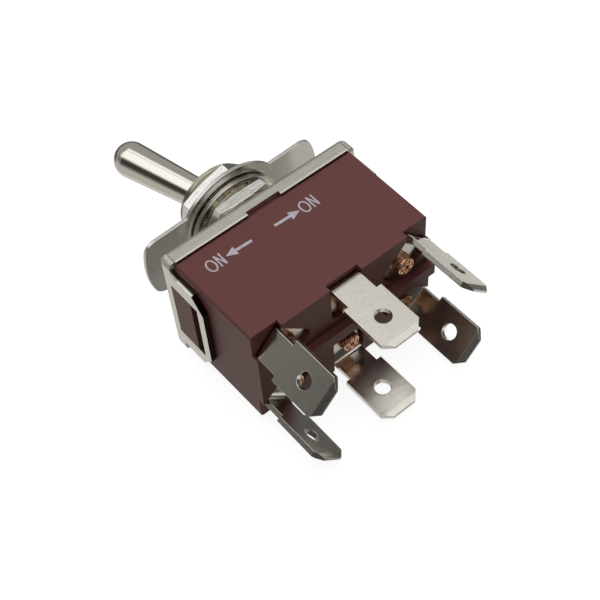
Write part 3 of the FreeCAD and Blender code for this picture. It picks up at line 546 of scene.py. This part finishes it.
# Surroundings
def ceiling_share(studio, x, y, z):
    """One inside the bright ceiling and nothing below its edges; a darker seam runs across it."""
    across = studio.maths("MULTIPLY_ADD", x, ALONG_EDGE, y)
    behind = studio.maths("MULTIPLY_ADD", z, BEHIND_EDGE, y)
    near_edge = studio.span(across, *NEAR_EDGE)
    seam = studio.larger(studio.span(across, *SEAM_NEAR_SIDE), studio.span(across, *SEAM_FAR_SIDE))
    left_edge = studio.product(studio.span(x, *LEFT_EDGE), studio.span(z, *LEFT_EDGE_HEIGHT))
    return studio.product(near_edge, seam, studio.span(behind, *FAR_EDGE), left_edge,
                          studio.span(x, *RIGHT_DIM))


def low_light(studio, x, y, z):
    """The light of the dark walls and of the floor below them."""
    left_dark = studio.span(y, *LEFT_WALL_DARK)
    left_wall = studio.span(z, *LEFT_WALL_HEIGHT, left_dark, LEFT_WALL_FOOT)
    walls = studio.blend(studio.span(x, *WALL_CHANGE), studio.span(z, *RIGHT_WALL), left_wall)
    walls = studio.blend(studio.span(y, *TAB_WALL_START), walls, TAB_WALL)
    left_floor = studio.product(studio.span(x, *LOW_FLOOR_LEFT_START), studio.span(x, *LOW_FLOOR_LEFT_END))
    floor = studio.larger(studio.span(x, *LOW_FLOOR_RIGHT), left_floor)
    return studio.blend(studio.span(z, *LOW_FLOOR_HEIGHT), walls, floor)


def make_world():
    """White to the camera; to the switch, a bright ceiling over dark walls and a light floor."""
    world = bpy.data.worlds.new("studio")
    world.use_nodes = True
    scene.world = world
    studio = Studio(world.node_tree)
    studio.tree.nodes.clear()
    way = studio.parts(studio.node("ShaderNodeTexCoord").outputs["Generated"])
    ceiling = ceiling_share(studio, *way)
    light = studio.blend(ceiling, low_light(studio, *way), CEILING_LIGHT)
    tint = studio.mix(ceiling, WALL_TINT, WHITE)
    room = studio.node("ShaderNodeBackground", {"Color": tint, "Strength": light})
    white = studio.node("ShaderNodeBackground", {"Color": WHITE, "Strength": 1.0})
    seen = studio.node("ShaderNodeLightPath").outputs["Is Camera Ray"]
    both = studio.node("ShaderNodeMixShader", {0: seen, 1: room.outputs[0], 2: white.outputs[0]})
    studio.node("ShaderNodeOutputWorld", {"Surface": both.outputs[0]})


def make_key_light():
    """A broad light from above that shapes the matt moulding."""
    light = bpy.data.lights.new("key", "SUN")
    light.energy = KEY_POWER
    light.angle = math.radians(KEY_SPREAD)
    lamp = bpy.data.objects.new("key", light)
    lamp.rotation_euler = Vector(KEY_FROM).to_track_quat("Z", "Y").to_euler()
    lamp.visible_glossy = False
    scene.collection.objects.link(lamp)


def make_floor():
    """A white floor that takes the switch's faint shadow and gives it no light or reflection."""
    half = FLOOR_HALF * MM
    level = loaded_low[2] - FLOOR_GAP * MM
    mesh = bpy.data.meshes.new("floor")
    mesh.from_pydata([(-half, -half, level), (half, -half, level), (half, half, level),
                      (-half, half, level)], [], [(0, 1, 2, 3)])
    material = bpy.data.materials.new("floor")
    material.use_nodes = True
    inputs = material.node_tree.nodes["Principled BSDF"].inputs
    inputs["Base Color"].default_value = grey(FLOOR_GREY)
    inputs["Roughness"].default_value = 1.0
    inputs["Specular IOR Level"].default_value = 0.0
    inputs["Emission Color"].default_value = WHITE
    inputs["Emission Strength"].default_value = FLOOR_GLOW
    mesh.materials.append(material)
    floor = bpy.data.objects.new("floor", mesh)
    floor.visible_diffuse = False
    floor.visible_glossy = False
    floor.visible_transmission = False
    floor.visible_shadow = False
    scene.collection.objects.link(floor)


def make_camera():
    """The camera of the photograph."""
    data = bpy.data.cameras.new("camera")
    data.lens = CAMERA_LENS
    data.sensor_width = CAMERA_SENSOR
    data.clip_start = 0.001
    data.clip_end = 10
    camera = bpy.data.objects.new("camera", data)
    turn = Matrix((CAMERA_RIGHT, CAMERA_UP, CAMERA_BACK)).transposed()
    camera.matrix_world = Matrix.Translation(Vector(CAMERA_PLACE) * MM) @ turn.to_4x4()
    scene.collection.objects.link(camera)
    scene.camera = camera


make_thread()
for arrow, (tail, tip) in ARROWS.items():
    make_arrow(arrow, tail, tip)
for word, (x, y) in WORDS.items():
    make_word(word, x, y)
for member in frame["record"]["subparts"]:
    dress(nodes[member["node"]], FINISHES[member["material_slot"]])

make_world()
make_key_light()
make_floor()
make_camera()
scene.view_settings.view_transform = "Standard"
